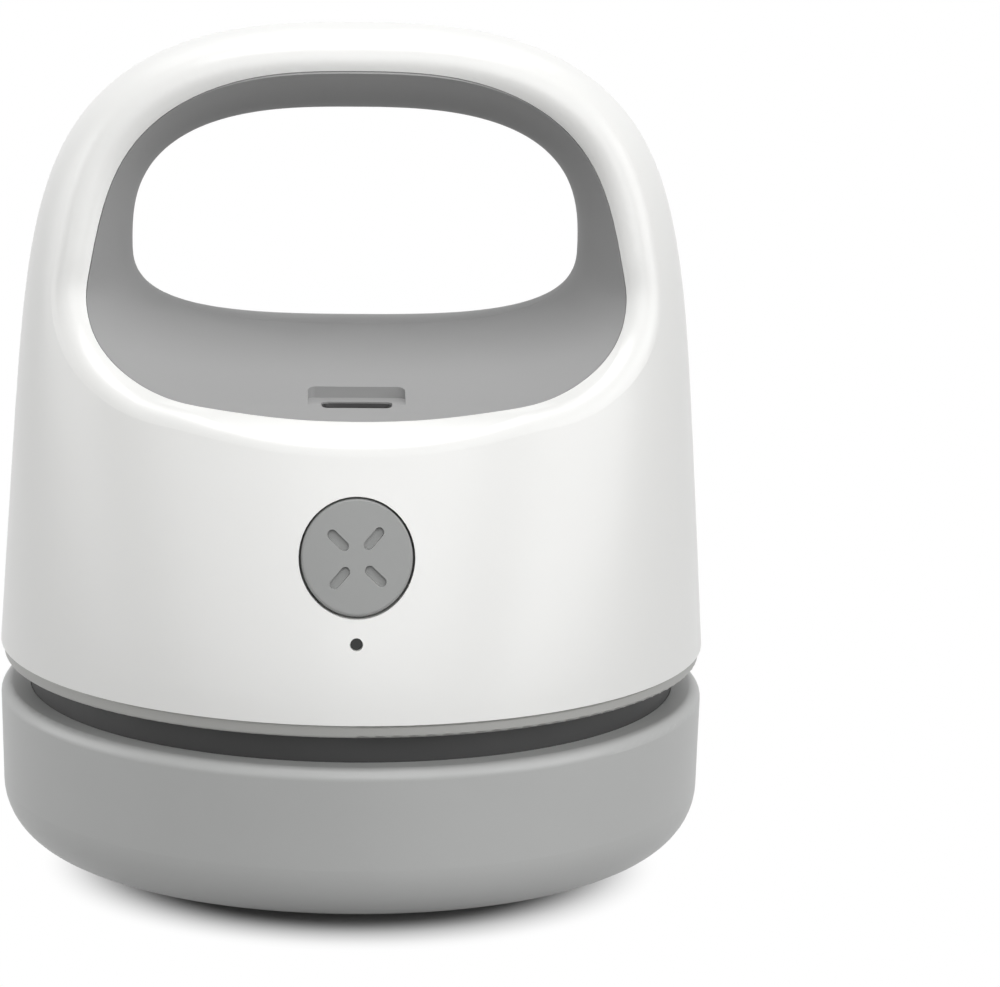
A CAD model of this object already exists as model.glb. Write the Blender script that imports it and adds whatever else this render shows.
import math
import random

import bmesh
import bpy
from bpy.props import FloatProperty, FloatVectorProperty, IntProperty, PointerProperty
from bpy.types import Operator, Panel, PropertyGroup
from mathutils import Matrix, Vector


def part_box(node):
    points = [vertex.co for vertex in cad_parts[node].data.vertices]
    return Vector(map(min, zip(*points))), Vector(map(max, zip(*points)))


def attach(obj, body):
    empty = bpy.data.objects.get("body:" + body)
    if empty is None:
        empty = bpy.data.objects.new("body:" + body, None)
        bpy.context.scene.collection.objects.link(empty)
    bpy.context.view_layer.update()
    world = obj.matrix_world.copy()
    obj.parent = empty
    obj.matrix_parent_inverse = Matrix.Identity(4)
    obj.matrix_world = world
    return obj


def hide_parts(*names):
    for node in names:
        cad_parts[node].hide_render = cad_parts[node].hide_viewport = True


bl_info = {
    "name": "Desk Vacuum Cleaner",
    "version": (1, 0, 0),
    "blender": (4, 5, 0),
    "location": "3D View > Sidebar > Desk Vacuum",
    "description": "Dresses the packed desk vacuum with its finishes, bristles and soft parts",
    "category": "Object",
}

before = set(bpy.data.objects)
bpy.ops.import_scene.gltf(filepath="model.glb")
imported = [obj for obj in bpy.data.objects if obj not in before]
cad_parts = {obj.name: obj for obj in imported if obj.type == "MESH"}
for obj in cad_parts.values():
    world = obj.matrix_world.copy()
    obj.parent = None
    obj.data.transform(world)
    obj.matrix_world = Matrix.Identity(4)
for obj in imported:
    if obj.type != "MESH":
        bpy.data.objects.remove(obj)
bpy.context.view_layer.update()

MM = 0.001
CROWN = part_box("outer_shell")[1][2]


# ---- Colours and nodes ---------------------------------------------------------------------

def linear(hex_code):
    """An sRGB hex colour such as "#A1A2A0" as linear red, green and blue."""
    parts = [int(hex_code[i:i + 2], 16) / 255 for i in (1, 3, 5)]
    return tuple(p / 12.92 if p <= 0.04045 else ((p + 0.055) / 1.055) ** 2.4 for p in parts)


def node(tree, kind, settings=None, links=None):
    """Add a node, give it its attributes and socket values, and link its inputs."""
    made = tree.nodes.new(kind)
    for name, value in (settings or {}).items():
        if isinstance(name, str) and hasattr(made, name):
            setattr(made, name, value)
        else:
            made.inputs[name].default_value = value
    for name, source in (links or {}).items():
        tree.links.new(source, made.inputs[name])
    return made


def finish(name, colour, roughness, metallic=0.0, ior=1.5):
    """A new material, its tree and shader, and the object's own coordinates in metres."""
    made = bpy.data.materials.new(name)
    made.use_nodes = True
    tree = made.node_tree
    tree.nodes.clear()
    shader = node(tree, "ShaderNodeBsdfPrincipled", {
        "Base Color": (*colour, 1), "Roughness": roughness, "Metallic": metallic, "IOR": ior})
    node(tree, "ShaderNodeOutputMaterial", links={"Surface": shader.outputs["BSDF"]})
    place = node(tree, "ShaderNodeTexCoord").outputs["Object"]
    return made, tree, shader, place


def noise(tree, place, size, detail=2.0, stretch=(1, 1, 1)):
    """Noise whose blobs are about size metres across, stretched along an axis if asked."""
    scale = [1 / (size * share) for share in stretch]
    spread = node(tree, "ShaderNodeMapping", {"Scale": scale}, {"Vector": place})
    made = node(tree, "ShaderNodeTexNoise", {"Scale": 1.0, "Detail": detail},
                {"Vector": spread.outputs["Vector"]})
    return made.outputs["Fac"]


def tint(tree, shader, factor, dark, pale):
    """The shader's colour goes from dark to pale with a factor."""
    mix = node(tree, "ShaderNodeMix", {"data_type": "RGBA", 6: (*dark, 1), 7: (*pale, 1)},
               {0: factor})
    tree.links.new(mix.outputs[2], shader.inputs["Base Color"])


def wear(tree, shader, factor, low, high):
    """The shader's roughness goes from low to high with a factor."""
    made = node(tree, "ShaderNodeMapRange", {"To Min": low, "To Max": high}, {"Value": factor})
    tree.links.new(made.outputs["Result"], shader.inputs["Roughness"])


def scaled(colour, share):
    """A colour made darker or paler by a share."""
    return tuple(min(1.0, c * share) for c in colour)


def relief(tree, shader, height, depth):
    """Bumps on the surface, from a height of 0 to 1 and its real depth in metres."""
    bump = node(tree, "ShaderNodeBump", {"Strength": 1.0, "Distance": depth}, {"Height": height})
    tree.links.new(bump.outputs["Normal"], shader.inputs["Normal"])


# ---- Plastics ------------------------------------------------------------------------------

def gloss_abs(name, colour, roughness):
    """White ABS from a polished mould: clear reflections on a skin with a faint orange peel."""
    made, tree, shader, place = finish(name, colour, roughness, ior=1.54)
    tint(tree, shader, noise(tree, place, 30 * MM), scaled(colour, 0.985), colour)
    wear(tree, shader, noise(tree, place, 14 * MM, 4), roughness * 0.85, roughness * 1.25)
    relief(tree, shader, noise(tree, place, 5 * MM, 1), 0.003 * MM)
    return made


def satin_abs(name, colour, roughness, grain=0.35 * MM, depth=0.006 * MM):
    """ABS from a spark-eroded mould: an even satin grain of about 0.1 mm, drawn coarser."""
    made, tree, shader, place = finish(name, colour, roughness, ior=1.54)
    tint(tree, shader, noise(tree, place, 18 * MM, 3), scaled(colour, 0.96), scaled(colour, 1.03))
    wear(tree, shader, noise(tree, place, 9 * MM, 4), roughness * 0.9, roughness * 1.12)
    relief(tree, shader, noise(tree, place, grain, 3), depth)
    return made


def smoked_polycarbonate(name):
    """Clear polycarbonate with black dye: black and glossy until the lamp behind it is lit."""
    colour = linear("#0A0A0B")
    made, tree, shader, place = finish(name, colour, 0.12, ior=1.585)
    tint(tree, shader, noise(tree, place, 1.5 * MM), scaled(colour, 0.8), scaled(colour, 1.3))
    relief(tree, shader, noise(tree, place, 0.6 * MM, 1), 0.002 * MM)
    return made


def silicone_rubber(name, hex_code):
    """Moulded silicone: matt, with the dull bloom and the fine dust that it picks up."""
    colour = linear(hex_code)
    made, tree, shader, place = finish(name, colour, 0.62, ior=1.41)
    tint(tree, shader, noise(tree, place, 3 * MM, 6), scaled(colour, 0.85), scaled(colour, 1.35))
    relief(tree, shader, noise(tree, place, 0.3 * MM, 4), 0.01 * MM)
    return made


def foam_tape(name):
    """Closed-cell foam tape: dark, matt, with pores of about 0.35 mm."""
    colour = linear("#3A3B3D")
    made, tree, shader, place = finish(name, colour, 0.9)
    spread = node(tree, "ShaderNodeMapping", {"Scale": [1 / (0.35 * MM)] * 3},
                  {"Vector": place})
    pores = node(tree, "ShaderNodeTexVoronoi", {"Scale": 1.0},
                 {"Vector": spread.outputs["Vector"]}).outputs["Distance"]
    tint(tree, shader, pores, scaled(colour, 0.55), scaled(colour, 1.25))
    relief(tree, shader, pores, 0.12 * MM)
    return made


def nylon_bristle(name):
    """Black nylon filament: smooth drawn strands with a narrow gloss along them."""
    colour = linear("#1B1B1D")
    made, tree, shader, place = finish(name, colour, 0.34, ior=1.53)
    streaks = noise(tree, place, 0.4 * MM, stretch=(1, 1, 6))
    tint(tree, shader, streaks, scaled(colour, 0.7), scaled(colour, 1.9))
    relief(tree, shader, noise(tree, place, 0.12 * MM, stretch=(1, 1, 10)), 0.01 * MM)
    return made


def pvc_insulation(name):
    """Stranded wire in PVC: the right lead of a pair is red and the left one black."""
    red, black = linear("#A3211C"), linear("#19191A")
    made, tree, shader, place = finish(name, red, 0.42, ior=1.53)
    axes = node(tree, "ShaderNodeSeparateXYZ", links={"Vector": place})
    right = node(tree, "ShaderNodeMath", {"operation": "GREATER_THAN", 1: 0.0},
                 {0: axes.outputs["X"]})
    tint(tree, shader, right.outputs["Value"], black, red)
    relief(tree, shader, noise(tree, place, 0.8 * MM, 3), 0.02 * MM)
    return made


# ---- Metals --------------------------------------------------------------------------------

def bright_metal(name, hex_code, roughness, grain=0.5 * MM, stretch=(1, 1, 1)):
    """Plated or bare metal: bright, with fine handling marks on a slightly uneven skin."""
    colour = linear(hex_code)
    made, tree, shader, place = finish(name, colour, roughness, metallic=1.0)
    tint(tree, shader, noise(tree, place, 4 * MM, 5), scaled(colour, 0.86), scaled(colour, 1.06))
    marks = noise(tree, place, grain, 6, stretch)
    wear(tree, shader, marks, roughness * 0.7, roughness * 1.4)
    relief(tree, shader, marks, 0.004 * MM)
    return made


def sintered_bronze(name):
    """Oil-filled sintered bronze: brown, with dark open pores of about 0.18 mm."""
    colour = linear("#B98A52")
    made, tree, shader, place = finish(name, colour, 0.42, metallic=1.0)
    pores = noise(tree, place, 0.18 * MM, 5)
    tint(tree, shader, pores, scaled(colour, 0.45), scaled(colour, 1.15))
    relief(tree, shader, pores, 0.02 * MM)
    return made


def ferrite(name):
    """Pressed ferrite: charcoal and stony, with the glint of its grains."""
    colour = linear("#3A3A3C")
    made, tree, shader, place = finish(name, colour, 0.55, metallic=0.35)
    grains = noise(tree, place, 0.25 * MM, 6)
    tint(tree, shader, grains, scaled(colour, 0.6), scaled(colour, 1.5))
    relief(tree, shader, grains, 0.02 * MM)
    return made


def laminated_steel(name):
    """A stack of punched sheets, 0.35 mm thick: bands across it, drawn 2.2 mm apart to show."""
    colour = linear("#8D8F92")
    made, tree, shader, place = finish(name, colour, 0.4, metallic=1.0)
    radians = 20                 # of the wave, for each unit of its scale
    bands = node(tree, "ShaderNodeTexWave", {
        "wave_type": "BANDS", "bands_direction": "Z", "Scale": 1 / (radians * 0.35 * MM),
        "Distortion": 0.2}, {"Vector": place}).outputs["Fac"]
    tint(tree, shader, bands, scaled(colour, 0.5), colour)
    relief(tree, shader, bands, 0.05 * MM)
    return made


def laminate_foil(name):
    """The aluminium laminate of a pouch cell: bright, pressed, with soft creases."""
    colour = linear("#B9BCC0")
    made, tree, shader, place = finish(name, colour, 0.3, metallic=1.0)
    tint(tree, shader, noise(tree, place, 12 * MM, 3), scaled(colour, 0.9), colour)
    relief(tree, shader, noise(tree, place, 3 * MM, 6), 0.15 * MM)
    return made


# ---- Board and filter ------------------------------------------------------------------------

def solder_mask(name):
    """Green solder mask over copper tracks about 0.8 mm wide, which show as paler bands."""
    colour = linear("#0F5A33")
    made, tree, shader, place = finish(name, colour, 0.3, ior=1.55)
    upright = {"Rotation": (math.radians(90), 0, 0)}
    turned = node(tree, "ShaderNodeMapping", upright, {"Vector": place})
    tracks = node(tree, "ShaderNodeTexBrick", {
        "Scale": 1 / (8 * MM), "Mortar Size": 0.05, "Color1": (0, 0, 0, 1),
        "Color2": (0, 0, 0, 1), "Mortar": (1, 1, 1, 1), "Brick Width": 0.5, "Row Height": 0.25,
        "offset": 0.37, "squash": 1.6}, {"Vector": turned.outputs["Vector"]}).outputs["Color"]
    tint(tree, shader, tracks, scaled(colour, 0.8), scaled(colour, 1.7))
    relief(tree, shader, tracks, 0.03 * MM)
    return made


def filter_paper(name):
    """Non-woven filter paper: off-white felted fibres, matt and slightly uneven."""
    colour = linear("#E9E7DE")
    made, tree, shader, place = finish(name, colour, 0.95)
    fibres = noise(tree, place, 0.25 * MM, 5, stretch=(1, 7, 1))
    tint(tree, shader, fibres, scaled(colour, 0.82), scaled(colour, 1.03))
    relief(tree, shader, fibres, 0.06 * MM)
    return made


# ---- Meshes --------------------------------------------------------------------------------

def circle(sides):
    """The angles of equal steps round a circle."""
    return [2 * math.pi * step / sides for step in range(sides)]


def squared(wave, power):
    """A sine or cosine pushed out towards 1 or -1: the lower the power, the squarer."""
    return math.copysign(abs(wave) ** power, wave)


def solids(name):
    """The lowest and highest corner of each separate solid in a CAD node, from left to right."""
    mesh = bmesh.new()
    mesh.from_mesh(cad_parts[name].data)
    bmesh.ops.remove_doubles(mesh, verts=mesh.verts, dist=0.001 * MM)
    waiting, found = set(mesh.verts), []
    while waiting:
        group, edge = [], [waiting.pop()]
        while edge:
            vert = edge.pop()
            group.append(vert.co)
            for link in vert.link_edges:
                other = link.other_vert(vert)
                if other in waiting:
                    waiting.remove(other)
                    edge.append(other)
        low = Vector(min(co[i] for co in group) for i in range(3))
        high = Vector(max(co[i] for co in group) for i in range(3))
        found.append((low, high))
    mesh.free()
    return sorted(found, key=lambda corners: tuple(round(c, 6) for c in corners[0]))


def piece(name, mesh, material, body, replaced=()):
    """A finished mesh as an object of the scene that rides on a body."""
    data = bpy.data.meshes.new(name)
    bmesh.ops.recalc_face_normals(mesh, faces=mesh.faces)
    for face in mesh.faces:
        face.smooth = True
    mesh.to_mesh(data)
    mesh.free()
    data.set_sharp_from_angle(angle=math.radians(40))
    data.materials.append(material)
    made = bpy.data.objects.new(name, data)
    bpy.context.scene.collection.objects.link(made)
    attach(made, body)
    if replaced:
        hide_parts(*replaced)
    return made


def join(mesh, rings):
    """Faces from each ring of vertices to the next one."""
    for ring, following in zip(rings, rings[1:]):
        for i in range(len(ring)):
            j = (i + 1) % len(ring)
            mesh.faces.new((ring[i], ring[j], following[j], following[i]))


def hoop(mesh, rows):
    """Join rows of points with faces, and the last row with the first."""
    rings = [[mesh.verts.new(point) for point in row] for row in rows]
    join(mesh, rings + rings[:1])


def strip(mesh, rows):
    """Join rows of points with faces and close the two ends."""
    rings = [[mesh.verts.new(point) for point in row] for row in rows]
    join(mesh, rings)
    mesh.faces.new(rings[0][::-1])
    mesh.faces.new(rings[-1])


def revolve(mesh, outline, sides=96):
    """Turn a closed outline of (radius, height) points about the Z axis."""
    hoop(mesh, [[(r * math.cos(angle), r * math.sin(angle), z) for r, z in outline]
                for angle in circle(sides)])


def dress(material, *names):
    """Give CAD nodes a material."""
    for name in names:
        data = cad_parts[name].data
        data.materials.clear()
        data.materials.append(material)


# ---- Screws --------------------------------------------------------------------------------

SCREW_SIDES = 32
SHANK_RADIUS = 1.1 * MM
THREAD_PITCH = 0.9 * MM
THREAD_DEPTH = 0.26 * MM
THREAD_ROWS = 6              # rows of points in one turn of the thread
TIP_LENGTH = 1.5             # share of the shank's radius
TIP_RADIUS = 0.35            # share of the shank's radius
HEAD_HEIGHT = 0.64           # shares of the head's radius
HEAD_FLAT = 0.55
RECESS_WIDTH = 0.16
RECESS_REACH = 0.58
HEAD_EDGE = 0.45             # shares of the head's height
RECESS_DEPTH = 0.62
RECESS_TAPER = 0.7           # the recess's bottom, as a share of its mouth
TURN_RIGHT = 900             # radians that a screw has turned, for each metre of its place
TURN_BACK = 400


def screw_mesh(head_radius, head_height, shank_length):
    """A pan-head screw with a cross recess, its head's seat at zero and its shank upwards."""
    dome = [(head_radius, 0.0), (head_radius, -HEAD_EDGE * head_height)]
    dome += [(head_radius * (HEAD_FLAT + (1 - HEAD_FLAT) * math.cos(a)),
              -head_height * (HEAD_EDGE + (1 - HEAD_EDGE) * math.sin(a)))
             for a in (math.radians(d) for d in (25, 50, 72, 90))]
    rows = [[(radius * math.cos(t), radius * math.sin(t), height) for t in circle(SCREW_SIDES)]
            for radius, height in reversed(dome)]
    steps = max(8, round(shank_length / THREAD_PITCH * THREAD_ROWS))
    for step in range(steps + 1):
        height = shank_length * step / steps
        taper = min(1.0, (shank_length - height) / (TIP_LENGTH * SHANK_RADIUS) + TIP_RADIUS)
        ring = []
        for k, angle in enumerate(circle(SCREW_SIDES)):
            phase = (height / THREAD_PITCH - k / SCREW_SIDES) % 1
            ridge = max(0.0, 1 - abs(phase - 0.5) * 4)
            radius = taper * (SHANK_RADIUS - THREAD_DEPTH * (1 - ridge))
            ring.append((radius * math.cos(angle), radius * math.sin(angle), height))
        rows.append(ring)
    blank = bmesh.new()
    strip(blank, rows)
    return subtract(blank, recess(head_radius, head_height))


def recess(head_radius, head_height):
    """The cross that a screwdriver fits, deep in the head and as far above it."""
    reach, width = RECESS_REACH * head_radius, RECESS_WIDTH * head_radius
    corners = [(width, width), (width, reach), (-width, reach), (-width, width),
               (-reach, width), (-reach, -width), (-width, -width), (-width, -reach),
               (width, -reach), (width, -width), (reach, -width), (reach, width)]
    depth = RECESS_DEPTH * head_height
    cross = bmesh.new()
    strip(cross, [[(x, y, -head_height - depth) for x, y in corners],
                  [(x * RECESS_TAPER, y * RECESS_TAPER, depth - head_height)
                   for x, y in corners]])
    bmesh.ops.recalc_face_normals(cross, faces=cross.faces)
    return cross


def subtract(body, tool):
    """The first mesh less the second one."""
    parts = []
    for mesh in (body, tool):
        data = bpy.data.meshes.new("screw_blank")
        mesh.to_mesh(data)
        mesh.free()
        part = bpy.data.objects.new("screw_blank", data)
        bpy.context.scene.collection.objects.link(part)
        parts.append(part)
    cut = parts[0].modifiers.new("cut", "BOOLEAN")
    cut.operation, cut.solver, cut.object = "DIFFERENCE", "EXACT", parts[1]
    bpy.context.view_layer.update()
    finished = parts[0].evaluated_get(bpy.context.evaluated_depsgraph_get())
    result = bpy.data.meshes.new_from_object(finished)
    for part in parts:
        bpy.data.objects.remove(part)
    return result


def screws(name, replaced, body, material, heads_up=False):
    """Replace a node of plain screws, whose heads are all at the same end, with threaded ones."""
    mesh = bmesh.new()
    blank = None
    for low, high in solids(replaced):
        middle = (low + high) / 2
        head_radius = (high.x - low.x) / 2
        head_height = HEAD_HEIGHT * head_radius
        if blank is None:
            blank = screw_mesh(head_radius, head_height, high.z - low.z - head_height)
        seat = high.z - head_height if heads_up else low.z + head_height
        turn = Matrix.Rotation(math.pi if heads_up else 0.0, 4, "X")
        spin = Matrix.Rotation(middle.x * TURN_RIGHT + middle.y * TURN_BACK, 4, "Z")
        placed = blank.copy()
        placed.transform(Matrix.Translation((middle.x, middle.y, seat)) @ turn @ spin)
        mesh.from_mesh(placed)
    return piece(name, mesh, material, body, (replaced,))


# ---- Settings ------------------------------------------------------------------------------

class ShellSettings(PropertyGroup):
    colour: FloatVectorProperty(
        name="Shell Colour", description="Colour of the white dome", subtype="COLOR", size=3,
        min=0, max=1, default=linear("#F4F4F2"))
    roughness: FloatProperty(
        name="Shell Roughness", description="Gloss of the dome, lower is glossier",
        subtype="FACTOR", min=0, max=1, default=0.3)


class TrimSettings(PropertyGroup):
    lining_colour: FloatVectorProperty(
        name="Lining Colour", description="Colour of the hand hole's lining", subtype="COLOR",
        size=3, min=0, max=1, default=linear("#9C9C9C"))
    cup_colour: FloatVectorProperty(
        name="Cup Colour", description="Colour of the dust cup", subtype="COLOR", size=3,
        min=0, max=1, default=linear("#BBBCBB"))
    ring_colour: FloatVectorProperty(
        name="Ring Colour", description="Colour of the trim ring", subtype="COLOR", size=3,
        min=0, max=1, default=linear("#B0B0AD"))
    button_colour: FloatVectorProperty(
        name="Button Colour", description="Colour of the power button", subtype="COLOR", size=3,
        min=0, max=1, default=linear("#979897"))
    neck_colour: FloatVectorProperty(
        name="Neck Colour", description="Colour of the dark chassis in the groove",
        subtype="COLOR", size=3, min=0, max=1, default=linear("#343434"))


class BrushSettings(PropertyGroup):
    strands: IntProperty(
        name="Strands", description="Bristles in each tuft", min=1, max=60, default=19)
    strand_radius: FloatProperty(
        name="Strand Radius", description="Radius of one bristle", unit="LENGTH", min=0,
        default=0.14 * MM)
    splay: FloatProperty(
        name="Splay", description="How far the tips of the outer bristles lean out",
        unit="LENGTH", min=0, default=0.35 * MM)


class StageSettings(PropertyGroup):
    floor_size: FloatProperty(
        name="Floor Size", description="Side of the square floor", unit="LENGTH", min=0,
        default=12.0)
    floor_colour: FloatVectorProperty(
        name="Floor Colour", description="Colour of the floor near the object", subtype="COLOR",
        size=3, min=0, max=1, default=linear("#C4C4C4"))
    distance: FloatProperty(
        name="Camera Distance", description="From the object's axis, along the floor",
        unit="LENGTH", min=0, default=0.76)
    height: FloatProperty(
        name="Camera Height", description="Height of the camera above the floor",
        unit="LENGTH", min=0, default=0.2211)
    azimuth: FloatProperty(
        name="Camera Azimuth", description="Turn of the camera about the object",
        unit="ROTATION", default=math.radians(-0.87))
    pitch: FloatProperty(
        name="Camera Pitch", description="How far the camera looks down", unit="ROTATION",
        default=math.radians(12.03))
    roll: FloatProperty(
        name="Camera Roll", description="Turn of the camera about its own axis",
        unit="ROTATION", default=math.radians(0.57))
    lens: FloatProperty(
        name="Lens", description="Focal length in millimetres on a 36 mm sensor", min=1,
        default=207.5)
    shift_x: FloatProperty(
        name="Shift X", description="Framing shift to the right, as a share of the width",
        default=0.1466)
    shift_y: FloatProperty(
        name="Shift Y", description="Framing shift upwards, as a share of the width",
        default=-0.0723)


SETTINGS = (
    ("vacuum_shell", ShellSettings),
    ("vacuum_trim", TrimSettings),
    ("vacuum_brush", BrushSettings),
    ("vacuum_stage", StageSettings),
)


# ---- Operators for the outside ---------------------------------------------------------------

class VACUUM_OT_shell(Operator):
    """Finish the white dome with its rolled lips"""
    bl_idname = "vacuum.shell"
    bl_label = "White Shell"

    def execute(self, context):
        shell = context.scene.vacuum_shell
        dress(gloss_abs("polished_white_abs", shell.colour, shell.roughness), "outer_shell")
        return {"FINISHED"}


class VACUUM_OT_lining(Operator):
    """Finish the two halves of the hand hole's lining"""
    bl_idname = "vacuum.lining"
    bl_label = "Hand Hole Lining"

    def execute(self, context):
        grey = satin_abs("satin_grey_abs_lining", context.scene.vacuum_trim.lining_colour, 0.6)
        dress(grey, "handle_liner_front", "handle_liner_rear")
        return {"FINISHED"}


class VACUUM_OT_base(Operator):
    """Finish the trim ring, the dark neck and the dust cup"""
    bl_idname = "vacuum.base"
    bl_label = "Ring, Neck and Cup"

    def execute(self, context):
        trim = context.scene.vacuum_trim
        dress(satin_abs("satin_grey_abs_ring", trim.ring_colour, 0.4), "trim_ring")
        dress(satin_abs("satin_grey_abs_cup", trim.cup_colour, 0.4), "dust_cup")
        dress(satin_abs("matt_black_abs_chassis", trim.neck_colour, 0.6), "chassis")
        return {"FINISHED"}


class VACUUM_OT_button(Operator):
    """Finish the power button and the switch behind it"""
    bl_idname = "vacuum.button"
    bl_label = "Power Button"

    def execute(self, context):
        colour = context.scene.vacuum_trim.button_colour
        grey = satin_abs("matt_grey_abs_button", colour, 0.5, 0.3 * MM, 0.008 * MM)
        dress(grey, "power_button")
        nylon = satin_abs("black_nylon_switch", linear("#1C1C1E"), 0.5)
        dress(nylon, "switch_body", "switch_plunger")
        return {"FINISHED"}


class VACUUM_OT_lamp(Operator):
    """Finish the charging lamp and its light pipe"""
    bl_idname = "vacuum.lamp"
    bl_label = "Charging Lamp"

    def execute(self, context):
        dress(smoked_polycarbonate("smoked_polycarbonate_pipe"), "light_pipe")
        epoxy = satin_abs("white_lamp_epoxy", linear("#E8E4C8"), 0.25, 0.5 * MM, 0.003 * MM)
        dress(epoxy, "lamp_chip")
        return {"FINISHED"}


class VACUUM_OT_port(Operator):
    """Finish the charging port's receptacle and tongue, and build its mouth"""
    bl_idname = "vacuum.port"
    bl_label = "Charging Port"

    def execute(self, context):
        dress(bright_metal("black_nickel_receptacle", "#29292A", 0.34), "usb_receptacle")
        dress(satin_abs("black_lcp_tongue", linear("#161617"), 0.45), "usb_tongue")
        self.mouth()
        return {"FINISHED"}

    def mouth(self):
        """The flared black lip that guides a plug, from the receptacle up into the slot."""
        low, high = (Vector(corner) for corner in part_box("usb_receptacle"))
        middle, half = (low + high) / 2, (high - low) / 2
        sheet, flare, foot, rise = 0.14 * MM, 0.72 * MM, 0.1 * MM, 1.1 * MM
        rows = []
        for grow, height in ((-sheet, foot), (flare, rise), (flare - sheet, rise),
                             (-2 * sheet, foot)):
            rows.append([(middle.x + squared(math.cos(turn), 0.4) * (half.x + grow),
                          middle.y + squared(math.sin(turn), 0.6) * (half.y + min(grow, 0)),
                          high.z + height) for turn in circle(64)])
        mesh = bmesh.new()
        hoop(mesh, rows)
        black = satin_abs("black_lcp_mouth", linear("#0B0B0C"), 0.6)
        piece("receptacle_mouth", mesh, black, "upper_unit")


STRAND_SIDES = 7
GOLDEN_ANGLE = math.radians(137.508)
ROOT_SHARE = 0.82            # how much of a tuft's room the roots of its bristles take up
STRAY = 0.12                 # millimetres that a tip strays by chance
TIP_TAPER = 0.25             # how much thinner a tip is, as a share of its root


class VACUUM_OT_brush(Operator):
    """Build the bristles and finish the plate that holds them"""
    bl_idname = "vacuum.brush"
    bl_label = "Brush Plate and Bristles"

    def execute(self, context):
        brush = context.scene.vacuum_brush
        plate = satin_abs("matt_black_abs_plate", linear("#2B2B2D"), 0.55, 0.4 * MM, 0.01 * MM)
        dress(plate, "brush_plate")
        chance = random.Random(7)
        mesh = bmesh.new()
        for low, high in solids("bristle_tufts"):
            for number in range(brush.strands):
                self.strand(mesh, brush, chance, number, low, high)
        nylon = nylon_bristle("black_nylon_bristle")
        piece("bristle_strands", mesh, nylon, "dust_cup_body",
              ("bristle_tufts",))
        return {"FINISHED"}

    def strand(self, mesh, brush, chance, number, low, high):
        """One bristle of a tuft, which leans out and gets thinner towards its tip."""
        middle, room = (low + high) / 2, (high.x - low.x) / 2 - brush.strand_radius
        share = math.sqrt((number + 0.5) / brush.strands)
        angle = number * GOLDEN_ANGLE
        out = Vector((math.cos(angle), math.sin(angle), 0))
        start = Vector((middle.x, middle.y, high.z)) + out * share * room * ROOT_SHARE
        stray = Vector((chance.uniform(-1, 1), chance.uniform(-1, 1), 0)) * STRAY * MM
        lean = out * share * brush.splay + stray
        foot = low.z + chance.uniform(0, STRAY) * MM
        rows = []
        for part in (0.0, 0.45, 0.8, 1.0):
            centre = start + lean * part ** 2
            centre.z = high.z + (foot - high.z) * part
            radius = brush.strand_radius * (1 - TIP_TAPER * part ** 3)
            rows.append([centre + radius * Vector((math.cos(t), math.sin(t), 0))
                         for t in circle(STRAND_SIDES)])
        strip(mesh, rows)


# ---- Operators for the inside ----------------------------------------------------------------

class VACUUM_OT_filter(Operator):
    """Build the folded filter and its seal, and finish the cassette"""
    bl_idname = "vacuum.filter"
    bl_label = "Filter Cassette"

    def execute(self, context):
        plastic = satin_abs("black_abs_cassette", linear("#2E2F31"), 0.5)
        dress(plastic, "filter_frame", "filter_mesh")
        self.element()
        self.seal()
        return {"FINISHED"}

    def element(self):
        """One sheet in narrow folds with rounded tips, cut round."""
        low, high = (Vector(corner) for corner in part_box("filter_element"))
        radius, folds, sheet = high.x, 19, 0.45 * MM
        clear, narrowest, columns, steps = 0.998, 0.5 * MM, 8, 12
        rise = high.z - low.z - 2 * sheet
        rows, samples = [], folds * steps
        for step in range(samples + 1):
            x = radius * (2 * step / samples - 1) * clear
            wave = squared(math.cos(2 * math.pi * folds * step / samples), 0.6)
            z = low.z + sheet + rise * (0.5 - 0.5 * wave)
            half = math.sqrt(max(radius ** 2 - x ** 2, narrowest ** 2))
            below = [(x, half * (2 * k / columns - 1), z - sheet / 2)
                     for k in range(columns + 1)]
            above = [(x, y, z + sheet) for x, y, z in reversed(below)]
            rows.append(below + above)
        mesh = bmesh.new()
        strip(mesh, rows)
        paper = filter_paper("nonwoven_filter_paper")
        piece("filter_pleats", mesh, paper, "filter_cassette",
              ("filter_element",))

    def seal(self):
        """A soft ring with a rounded top."""
        low, high = (Vector(corner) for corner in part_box("seal_ring"))
        outer, width, height = high.x, 2.6 * MM, high.z - low.z
        upright = 0.45
        shoulder = low.z + upright * height
        outline = [(outer, low.z), (outer, shoulder)]
        outline += [(outer - width / 2 + width / 2 * math.cos(a),
                     low.z + height * (upright + (1 - upright) * math.sin(a)))
                    for a in (math.radians(d) for d in range(20, 180, 20))]
        outline += [(outer - width, shoulder), (outer - width, low.z)]
        mesh = bmesh.new()
        revolve(mesh, outline, 128)
        rubber = silicone_rubber("grey_silicone_seal", "#55585A")
        piece("seal_ring_lip", mesh, rubber, "filter_cassette", ("seal_ring",))


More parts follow.
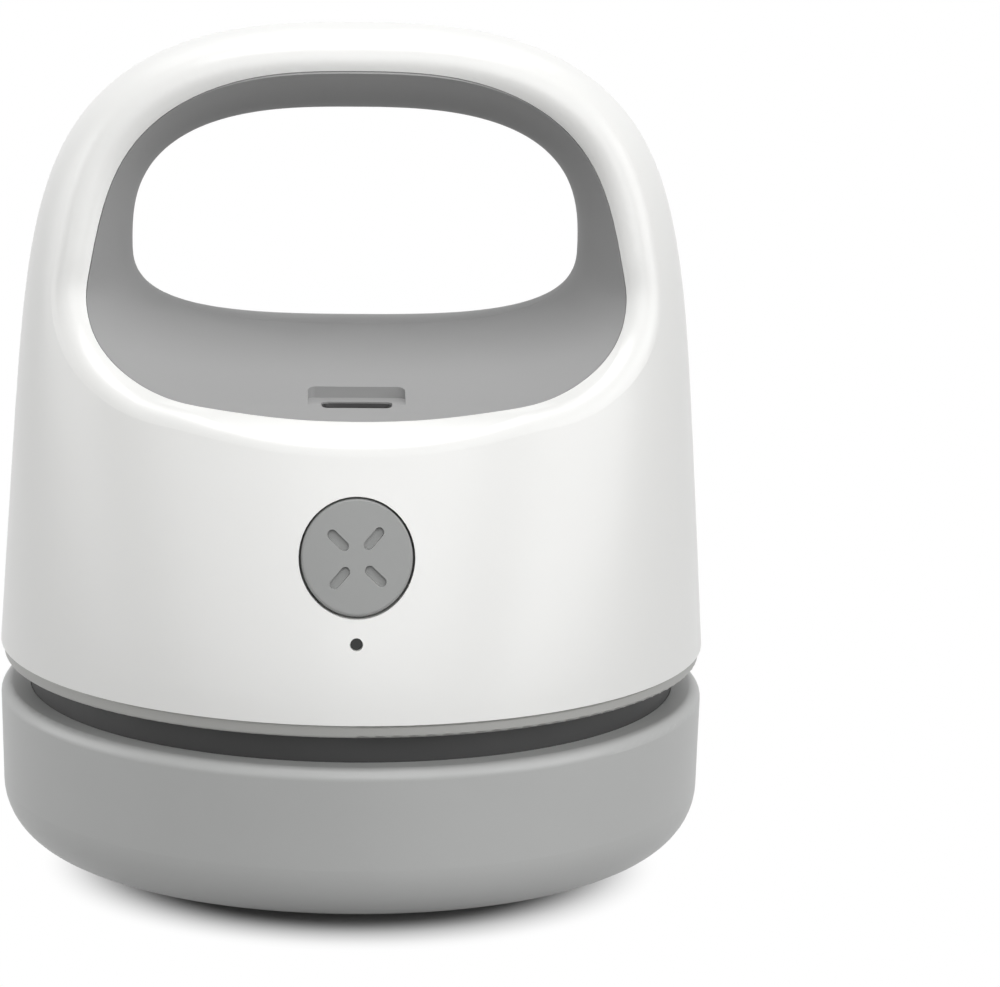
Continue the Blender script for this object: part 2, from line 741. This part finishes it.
class VACUUM_OT_fan(Operator):
    """Finish the fan, its cover and the motor, and build the motor's sleeve"""
    bl_idname = "vacuum.fan"
    bl_label = "Fan and Motor"

    def execute(self, context):
        pom = satin_abs("natural_pom_fan", linear("#E4E3DD"), 0.3, 0.6 * MM, 0.004 * MM)
        dress(pom, "impeller")
        dress(satin_abs("white_abs_cover", linear("#DCDCD8"), 0.5), "fan_cover")
        dress(bright_metal("nickel_plated_can", "#CFCBC2", 0.26, stretch=(1, 1, 6)), "motor_can")
        ground = bright_metal("ground_steel_shaft", "#C9CACC", 0.16, 0.15 * MM, (1, 1, 0.3))
        dress(ground, "motor_shaft")
        dress(sintered_bronze("sintered_bronze_bush"), "motor_bushes")
        dress(satin_abs("black_nylon_cap", linear("#1E1E20"), 0.5), "motor_end_cap")
        dress(bright_metal("tinned_brass_terminal", "#D8C9A0", 0.3), "motor_terminals")
        dress(ferrite("pressed_ferrite_magnet"), "motor_magnets")
        dress(laminated_steel("laminated_steel_armature"), "motor_armature")
        self.damper()
        return {"FINISHED"}

    def damper(self):
        """A ribbed rubber sleeve with a lip that sits on the cradle's edge."""
        low, high = (Vector(corner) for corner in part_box("motor_damper"))
        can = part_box("motor_can")[1][0]
        sleeve, ledge, bevel = can + 1.2 * MM, high.z - 0.8 * MM, 0.3 * MM
        ribs, groove = 5, 0.35 * MM
        outline = [(can, low.z), (sleeve, low.z)]
        for rib in range(ribs):
            for share, depth in ((0.2, 0.0), (0.35, groove), (0.65, groove), (0.8, 0.0)):
                outline.append((sleeve - depth, low.z + (ledge - low.z) * (rib + share) / ribs))
        outline += [(sleeve, ledge), (high.x, ledge), (high.x, high.z - bevel),
                    (high.x - bevel, high.z), (can, high.z)]
        mesh = bmesh.new()
        revolve(mesh, outline)
        rubber = silicone_rubber("black_silicone_damper", "#2A2B2D")
        piece("motor_damper_sleeve", mesh, rubber, "upper_unit",
              ("motor_damper",))


class VACUUM_OT_battery(Operator):
    """Build the pouch cell and its foam tape, and finish the leads"""
    bl_idname = "vacuum.battery"
    bl_label = "Battery"

    def execute(self, context):
        self.cell()
        self.tape()
        dress(pvc_insulation("pvc_wire_insulation"), "motor_leads", "cell_leads")
        return {"FINISHED"}

    def cell(self):
        """A pillow of foil laminate with crowned faces."""
        low, high = (Vector(corner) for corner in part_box("battery_cell"))
        middle, half = (low + high) / 2, (high - low) / 2
        levels, edge, corner = 16, 0.35, 0.22
        seam, narrowing, bulge = 0.015, 0.03, 0.07      # shares of the pouch's half size
        rows = []
        for level in range(levels + 1):
            height = -squared(math.cos(math.pi * level / levels), edge)
            girth = (1 - abs(height) ** 9) ** (1 / 3) * (1 - seam) + seam
            row = []
            for turn in circle(64):
                across = squared(math.cos(turn), corner)
                deep = squared(math.sin(turn), corner)
                crown = 1 - bulge + bulge * (1 - across ** 2) * (1 - height ** 2)
                row.append((middle.x + half.x * across * (1 - narrowing + narrowing * girth),
                            middle.y + half.y * deep * crown * girth,
                            middle.z + half.z * height))
            rows.append(row)
        mesh = bmesh.new()
        strip(mesh, rows)
        foil = laminate_foil("aluminium_laminate_pouch")
        piece("battery_pouch", mesh, foil, "upper_unit", ("battery_cell",))

    def tape(self):
        """Foam tape with edges that bulge a little."""
        low, high = (Vector(corner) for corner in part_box("battery_pad"))
        middle, half = (low + high) / 2, (high - low) / 2
        pressed, corner = 0.985, 0.15
        rows = []
        for share, width in ((-1, pressed), (-0.5, 1.0), (0.5, 1.0), (1, pressed)):
            rows.append([(middle.x + half.x * squared(math.cos(turn), corner) * width,
                          middle.y + half.y * share,
                          middle.z + half.z * squared(math.sin(turn), corner) * width)
                         for turn in circle(48)])
        mesh = bmesh.new()
        strip(mesh, rows)
        foam = foam_tape("closed_cell_foam_tape")
        made = piece("battery_foam_tape", mesh, foam, "upper_unit",
                     ("battery_pad",))


CHIP_WIDTH = 3.5 * MM        # of the board's parts, the wider ones are chips


class VACUUM_OT_board(Operator):
    """Finish the board and build its chips and capacitors"""
    bl_idname = "vacuum.board"
    bl_label = "Circuit Board"

    def execute(self, context):
        dress(solder_mask("green_solder_mask"), "main_board")
        packages, legs, cans = bmesh.new(), bmesh.new(), bmesh.new()
        for low, high in solids("board_parts"):
            if high.x - low.x > CHIP_WIDTH:
                self.chip(packages, legs, low, high)
            else:
                self.capacitor(cans, low, high)
        epoxy = satin_abs("black_epoxy_package", linear("#19191B"), 0.55, 0.25 * MM, 0.01 * MM)
        piece("chip_packages", packages, epoxy, "upper_unit",
              ("board_parts",))
        tin = bright_metal("tinned_copper_legs", "#C9C8C2", 0.3)
        piece("chip_legs", legs, tin, "upper_unit")
        aluminium = bright_metal("bare_aluminium_can", "#C4C6C8", 0.28)
        piece("capacitor_cans", cans, aluminium, "upper_unit")
        return {"FINISHED"}

    def chip(self, packages, legs, low, high):
        """A moulded package with drafted sides, and four bent legs on its left and its right."""
        middle, half, depth = (low + high) / 2, (high - low) / 2, high.y - low.y
        width, height = 0.66 * half.x, 0.96 * half.z    # the package's own, without its legs
        rows = []
        for share, size in ((0.06, 0.92), (0.5, 1.0), (0.94, 0.94), (1.0, 0.9)):
            across, up, y = width * size, height * size, high.y - share * depth
            rows.append([(middle.x + x, y, middle.z + z)
                         for x, z in ((-across, -up), (across, -up), (across, up),
                                      (-across, up))])
        strip(packages, rows)
        leg, sheet = 0.16 * MM, 0.12 * MM
        for side in (-1, 1):
            for place in (-0.66, -0.22, 0.22, 0.66):
                rows = []
                for out, rise in ((0.62, 0.5), (0.76, 0.5), (0.84, 0.12), (1.0, 0.1)):
                    x, y = middle.x + side * out * half.x, high.y - rise * depth
                    z = middle.z + place * half.z
                    rows.append([(x, y - sheet, z - leg), (x, y - sheet, z + leg),
                                 (x, y, z + leg), (x, y, z - leg)])
                strip(legs, rows)

    def capacitor(self, mesh, low, high):
        """A rolled aluminium can with a groove near its foot and a sunken top."""
        middle, radius, height = (low + high) / 2, (high.x - low.x) / 2, high.y - low.y
        outline = ((0.94, 0.0), (0.94, 0.12), (1.0, 0.16), (1.0, 0.26), (0.9, 0.31),
                   (0.9, 0.35), (1.0, 0.4), (1.0, 0.93), (0.93, 1.0), (0.8, 1.0), (0.76, 0.96))
        strip(mesh, [[(middle.x + radius * size * math.cos(t), high.y - height * rise,
                       middle.z + radius * size * math.sin(t)) for t in circle(32)]
                     for size, rise in outline])


class VACUUM_OT_fasteners(Operator):
    """Replace the plain screws with threaded pan heads"""
    bl_idname = "vacuum.fasteners"
    bl_label = "Screws"

    def execute(self, context):
        zinc = bright_metal("bright_zinc_steel", "#C3C7CB", 0.3)
        screws("chassis_screws_threaded", "chassis_screws", "upper_unit", zinc)
        screws("fan_cover_screws_threaded", "fan_cover_screws", "upper_unit", zinc, True)
        screws("motor_screws_threaded", "motor_screws", "upper_unit", zinc)
        screws("brush_plate_screws_threaded", "brush_plate_screws", "dust_cup_body", zinc)
        return {"FINISHED"}


# ---- Stage -----------------------------------------------------------------------------------

FLOOR_SHADED = 28 * MM       # the floor takes light and shadow this near to the patch's middle
FLOOR_WHITE = 42 * MM        # and is pure white from here on
PATCH_FORWARD = 8 * MM       # the patch's middle, in front of the object's axis
SENSOR_WIDTH = 36.0          # millimetres
LAMP_DISTANCE = 1.5
LAMPS = (
    # name, azimuth and elevation that it shines from in degrees, side in metres, power in watts
    ("top_softbox", 0, 88, 0.8, 11.7),
    ("front_softbox", 10, 34, 1.0, 7.1),
    ("front_left_softbox", -35, 22, 1.0, 3.2),
    ("front_low_softbox", 8, 8, 1.0, 1.2),
    ("right_softbox", 68, 20, 1.2, 10.0),
    ("left_softbox", -100, 12, 1.2, 8.6),
    ("back_softbox", 180, 45, 1.2, 3.0),
)


class VACUUM_OT_stage(Operator):
    """Build the pale floor, the soft lights and the camera"""
    bl_idname = "vacuum.stage"
    bl_label = "Floor, Lights and Camera"

    def execute(self, context):
        settings = context.scene.vacuum_stage
        context.scene.view_settings.view_transform = "Standard"
        self.floor(context.scene, settings)
        self.world(context.scene)
        self.lamps(context.scene)
        self.camera(context.scene, settings)
        return {"FINISHED"}

    def floor(self, scene, settings):
        """A square floor: shaded near the object, pure white farther off."""
        half = settings.floor_size / 2
        corners = [(-half, -half, 0), (half, -half, 0), (half, half, 0), (-half, half, 0)]
        data = bpy.data.meshes.new("floor")
        data.from_pydata(corners, [], [(0, 1, 2, 3)])
        data.materials.append(self.paper(settings.floor_colour))
        floor = bpy.data.objects.new("floor", data)
        scene.collection.objects.link(floor)

    def paper(self, colour):
        """Matt paper to the eye, and darker for the light that it sends up to the object."""
        made = bpy.data.materials.new("pale_paper_floor")
        made.use_nodes = True
        tree = made.node_tree
        tree.nodes.clear()
        seen = seen_rays(tree)
        near = node(tree, "ShaderNodeBsdfDiffuse", {"Color": (*colour, 1)})
        bounce = node(tree, "ShaderNodeBsdfDiffuse", {"Color": (*linear("#9A9A9A"), 1)})
        white = node(tree, "ShaderNodeEmission", {"Color": (1, 1, 1, 1), "Strength": 1.0})
        place = node(tree, "ShaderNodeMapping", {"Location": (0, PATCH_FORWARD, 0)},
                     {"Vector": node(tree, "ShaderNodeTexCoord").outputs["Object"]})
        away = node(tree, "ShaderNodeVectorMath", {"operation": "LENGTH"},
                    {0: place.outputs["Vector"]})
        far = node(tree, "ShaderNodeMapRange", {
            "From Min": FLOOR_SHADED, "From Max": FLOOR_WHITE,
            "interpolation_type": "SMOOTHSTEP"}, {"Value": away.outputs["Value"]})
        shown = node(tree, "ShaderNodeMixShader", links={
            0: far.outputs["Result"], 1: near.outputs["BSDF"], 2: white.outputs["Emission"]})
        mix = node(tree, "ShaderNodeMixShader", links={
            0: seen, 1: bounce.outputs["BSDF"], 2: shown.outputs["Shader"]})
        node(tree, "ShaderNodeOutputMaterial", links={"Surface": mix.outputs["Shader"]})
        return made

    def world(self, scene):
        """White where it is seen or mirrored; the softboxes give the rest of the light."""
        world = bpy.data.worlds.new("studio_air")
        scene.world = world
        world.use_nodes = True
        tree = world.node_tree
        tree.nodes.clear()
        air = node(tree, "ShaderNodeBackground", {"Color": (1, 1, 1, 1)},
                   {"Strength": seen_rays(tree)})
        node(tree, "ShaderNodeOutputWorld", links={"Surface": air.outputs["Background"]})

    def lamps(self, scene):
        """Soft square lamps that face the middle of the object."""
        aim = Vector((0, 0, CROWN / 2))
        for name, azimuth, elevation, side, power in LAMPS:
            data = bpy.data.lights.new(name, "AREA")
            data.shape, data.size, data.energy = "SQUARE", side, power
            around, up = math.radians(azimuth), math.radians(elevation)
            away = Vector((math.sin(around) * math.cos(up), -math.cos(around) * math.cos(up),
                           math.sin(up)))
            lamp = bpy.data.objects.new(name, data)
            lamp.location = aim + away * LAMP_DISTANCE
            lamp.rotation_euler = away.to_track_quat("Z", "Y").to_euler()
            scene.collection.objects.link(lamp)

    def camera(self, scene, settings):
        """A long lens, a little above the object, with the object left of the middle."""
        data = bpy.data.cameras.new("camera")
        data.sensor_fit, data.sensor_width, data.lens = "HORIZONTAL", SENSOR_WIDTH, settings.lens
        data.shift_x, data.shift_y = settings.shift_x, settings.shift_y
        data.clip_start, data.clip_end = 0.01, 100.0
        camera = bpy.data.objects.new("camera", data)
        around = Matrix.Rotation(settings.azimuth, 4, "Z")
        place = Matrix.Translation((0, -settings.distance, settings.height))
        tilt = Matrix.Rotation(math.radians(90) - settings.pitch, 4, "X")
        spin = Matrix.Rotation(settings.roll, 4, "Z")
        camera.matrix_world = around @ place @ tilt @ spin
        scene.collection.objects.link(camera)
        scene.camera = camera


def seen_rays(tree):
    """1 for rays from the camera, a mirror or glass, and 0 for the rest."""
    path = node(tree, "ShaderNodeLightPath")
    first = node(tree, "ShaderNodeMath", {"operation": "MAXIMUM"}, {
        0: path.outputs["Is Camera Ray"], 1: path.outputs["Is Glossy Ray"]})
    both = node(tree, "ShaderNodeMath", {"operation": "MAXIMUM"}, {
        0: first.outputs["Value"], 1: path.outputs["Is Transmission Ray"]})
    return both.outputs["Value"]


# ---- Panel and registration --------------------------------------------------------------------

OPERATORS = (
    VACUUM_OT_shell,
    VACUUM_OT_lining,
    VACUUM_OT_base,
    VACUUM_OT_button,
    VACUUM_OT_lamp,
    VACUUM_OT_port,
    VACUUM_OT_brush,
    VACUUM_OT_filter,
    VACUUM_OT_fan,
    VACUUM_OT_battery,
    VACUUM_OT_board,
    VACUUM_OT_fasteners,
    VACUUM_OT_stage,
)


class VACUUM_PT_panel(Panel):
    """Lists the settings and the steps that dress the vacuum cleaner"""
    bl_label = "Desk Vacuum"
    bl_idname = "VACUUM_PT_panel"
    bl_space_type = "VIEW_3D"
    bl_region_type = "UI"
    bl_category = "Desk Vacuum"

    def draw(self, context):
        for name, group in SETTINGS:
            settings = getattr(context.scene, name)
            column = self.layout.column()
            for prop in group.__annotations__:
                column.prop(settings, prop)
        for operator in OPERATORS:
            self.layout.operator(operator.bl_idname)


def register():
    for name, group in SETTINGS:
        bpy.utils.register_class(group)
        setattr(bpy.types.Scene, name, PointerProperty(type=group))
    for made in (*OPERATORS, VACUUM_PT_panel):
        bpy.utils.register_class(made)


def unregister():
    for made in (VACUUM_PT_panel, *reversed(OPERATORS)):
        bpy.utils.unregister_class(made)
    for name, group in reversed(SETTINGS):
        delattr(bpy.types.Scene, name)
        bpy.utils.unregister_class(group)


def main():
    register()
    bpy.ops.vacuum.shell()
    bpy.ops.vacuum.lining()
    bpy.ops.vacuum.base()
    bpy.ops.vacuum.button()
    bpy.ops.vacuum.lamp()
    bpy.ops.vacuum.port()
    bpy.ops.vacuum.brush()
    bpy.ops.vacuum.filter()
    bpy.ops.vacuum.fan()
    bpy.ops.vacuum.battery()
    bpy.ops.vacuum.board()
    bpy.ops.vacuum.fasteners()
    bpy.ops.vacuum.stage()


if __name__ == "__main__":
    main()
